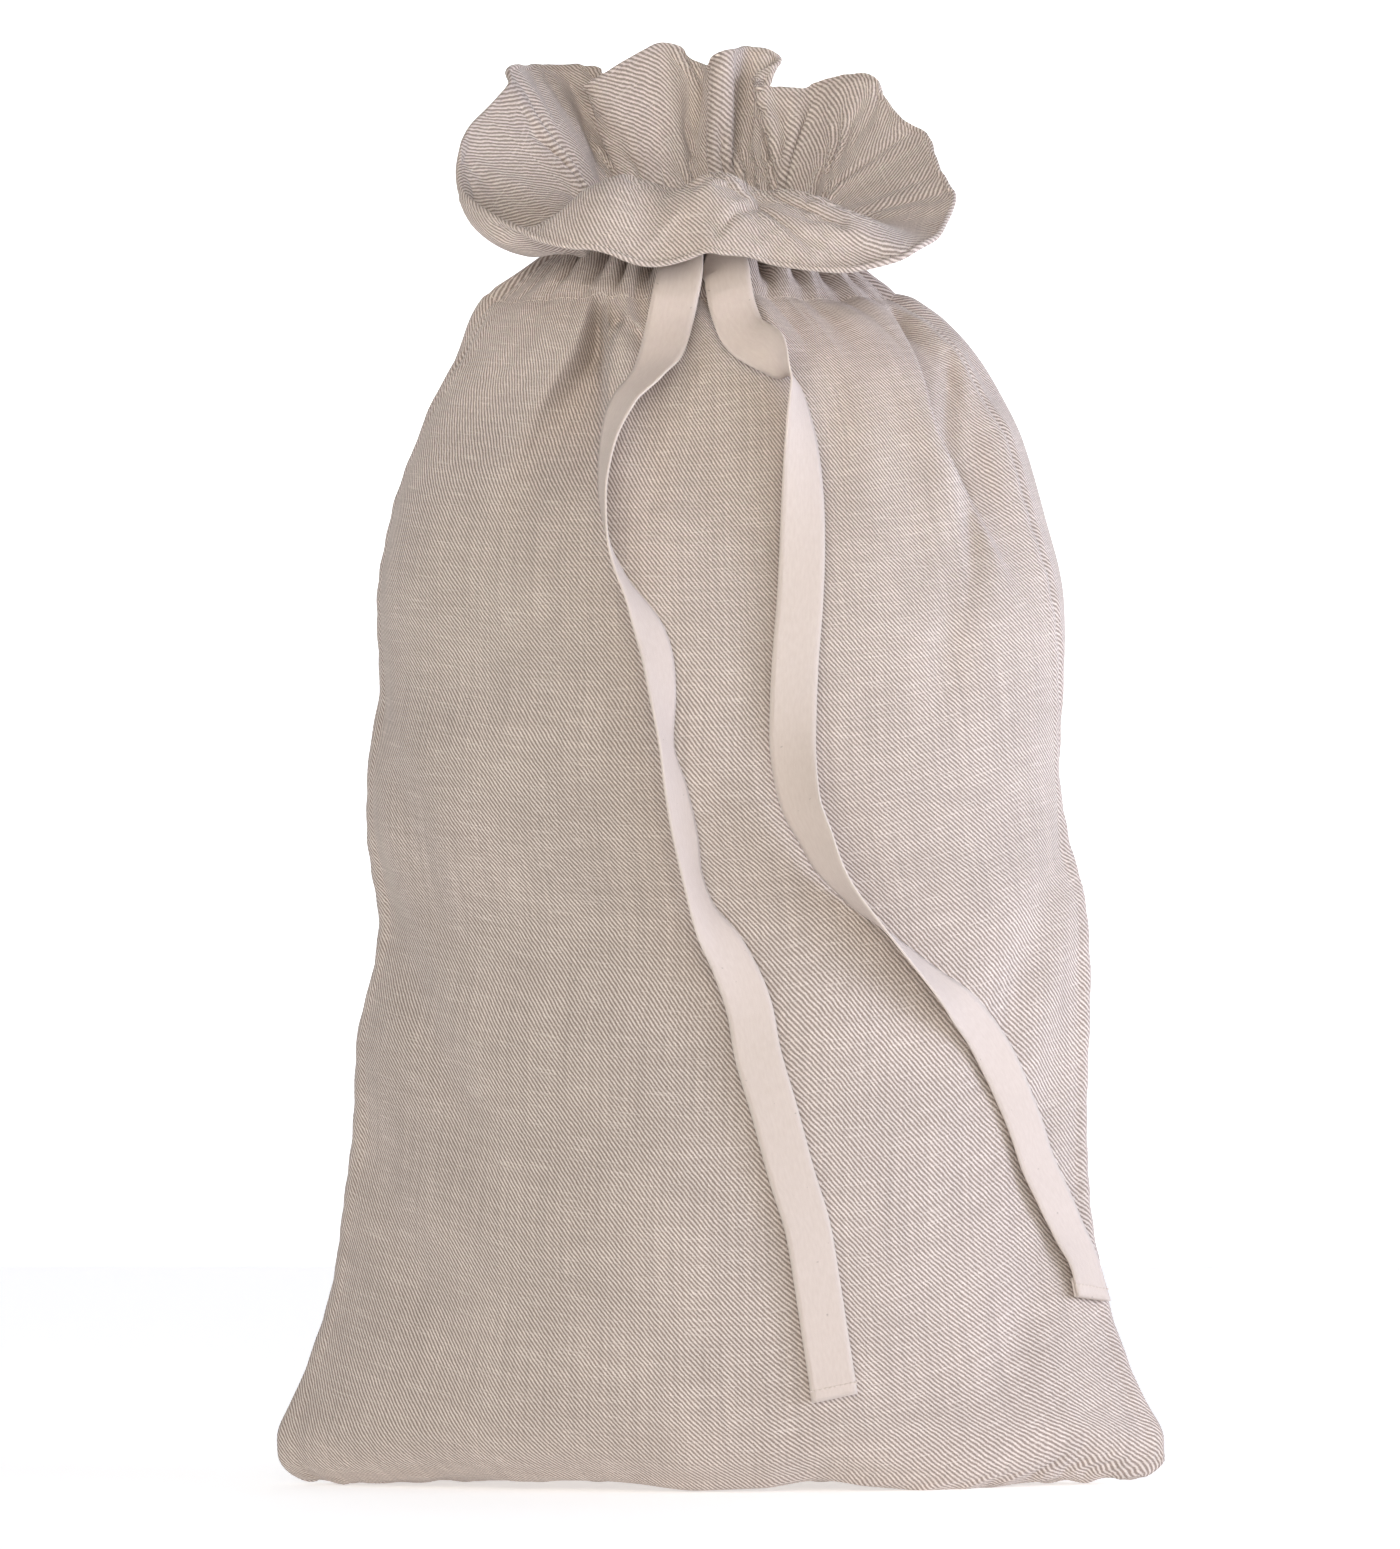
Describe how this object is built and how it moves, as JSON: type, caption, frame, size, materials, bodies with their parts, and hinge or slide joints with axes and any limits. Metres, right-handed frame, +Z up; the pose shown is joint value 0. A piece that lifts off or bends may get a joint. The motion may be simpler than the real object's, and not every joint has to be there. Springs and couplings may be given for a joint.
{
  "type": "drawstring storage bag",
  "caption": "Full upright cloth drawstring bag with pointed lower corners, a gathered neck, an opened ruffled heading and flat tape ties hanging down the front.",
  "frame": {"origin": "on the floor under the middle of the bag's outside box, tails left out", "axes": "+Z up towards the frill, -Y out of the front where the tails hang, +X to the right of the picture"},
  "size_m": [0.3878, 0.2075, 0.6286],
  "materials": {
    "twill": "matt cotton twill, cream lines on taupe",
    "hem": "rolled edge of the same twill, with slanting stripes",
    "tape": "matt cream cotton tape",
    "thread": "cream sewing thread"
  },
  "bodies": {
    "bag": {"front_panel": "twill", "back_panel": "twill", "left_seam_allowance": "twill", "right_seam_allowance": "twill", "bottom_seam_allowance": "twill", "left_seam_stitch": "thread", "right_seam_stitch": "thread", "bottom_seam_stitch": "thread"},
    "front_collar": {"front_casing": "twill", "front_casing_lining": "twill", "front_lower_stitch": "thread", "front_upper_stitch": "thread", "front_left_drawstring_run": "tape", "front_right_drawstring_run": "tape", "front_frill": "twill", "front_frill_hem": "hem"},
    "back_collar": {"back_casing": "twill", "back_casing_lining": "twill", "back_lower_stitch": "thread", "back_upper_stitch": "thread", "back_drawstring_run": "tape", "back_frill": "twill", "back_frill_hem": "hem"},
    "left_tail": {"left_tail": "tape", "left_tail_hem": "tape", "left_tail_stitch": "thread"},
    "right_tail": {"right_tail": "tape", "right_tail_hem": "tape", "right_tail_stitch": "thread"}
  },
  "joints": [
    {"name": "mouth_front_open", "type": "slide", "parent": "bag", "child": "front_collar", "axis": [0, -1, 0], "range_m": [0, 0.045]},
    {"name": "mouth_back_open", "type": "slide", "parent": "bag", "child": "back_collar", "axis": [0, 1, 0], "range_m": [0, 0.045]},
    {"name": "left_tail_lift", "type": "hinge", "parent": "front_collar", "child": "left_tail", "pos_m": [-0.009, -0.036, 0.539], "axis": [-1, 0, 0], "range_deg": [0, 35]},
    {"name": "right_tail_lift", "type": "hinge", "parent": "front_collar", "child": "right_tail", "pos_m": [-0.0046, -0.036, 0.539], "axis": [-1, 0, 0], "range_deg": [0, 35]}
  ],
  "couplings": [
    {"joint": "mouth_back_open", "follows": "mouth_front_open", "ratio": 1}
  ]
}
